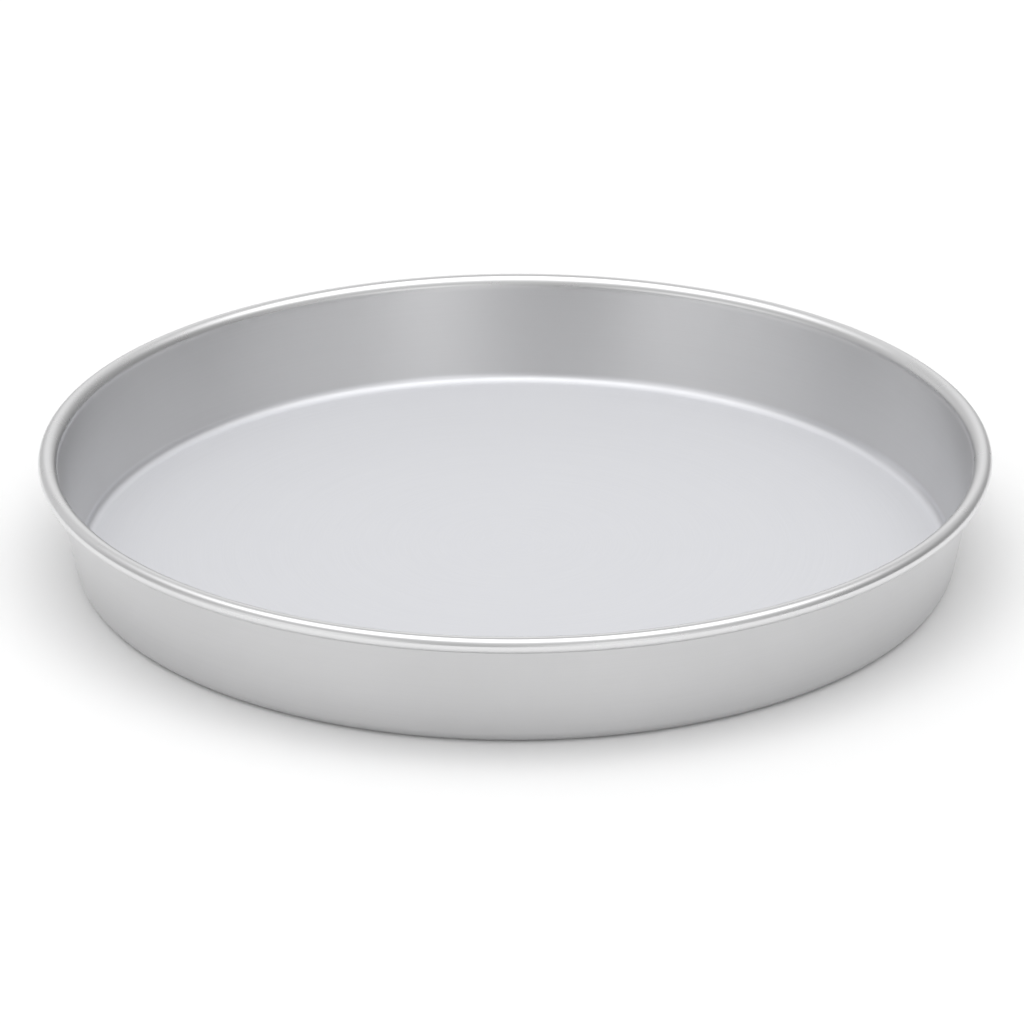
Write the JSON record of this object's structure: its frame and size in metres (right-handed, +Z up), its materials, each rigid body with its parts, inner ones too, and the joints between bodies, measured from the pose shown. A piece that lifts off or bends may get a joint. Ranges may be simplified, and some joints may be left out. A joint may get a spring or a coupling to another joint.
{
  "type": "round pizza pan",
  "caption": "Round deep-dish pizza pan of satin aluminium sheet with a flat floor, a wall that leans outwards and a rim rolled outwards around a wire hoop.",
  "frame": {"origin": "middle of the pan's underside, on the surface that it stands on", "axes": "+Z up along the pan's axis, out of its open top; X and Y are free, because the pan is round"},
  "size_m": [0.423, 0.423, 0.0534],
  "materials": {
    "satin_aluminium": "satin, with fine spun lines around the axis",
    "drawn_steel_wire": "drawn, dull"
  },
  "bodies": {
    "root": {"pan_shell": "satin_aluminium", "rim_wire": "drawn_steel_wire"}
  },
  "joints": []
}
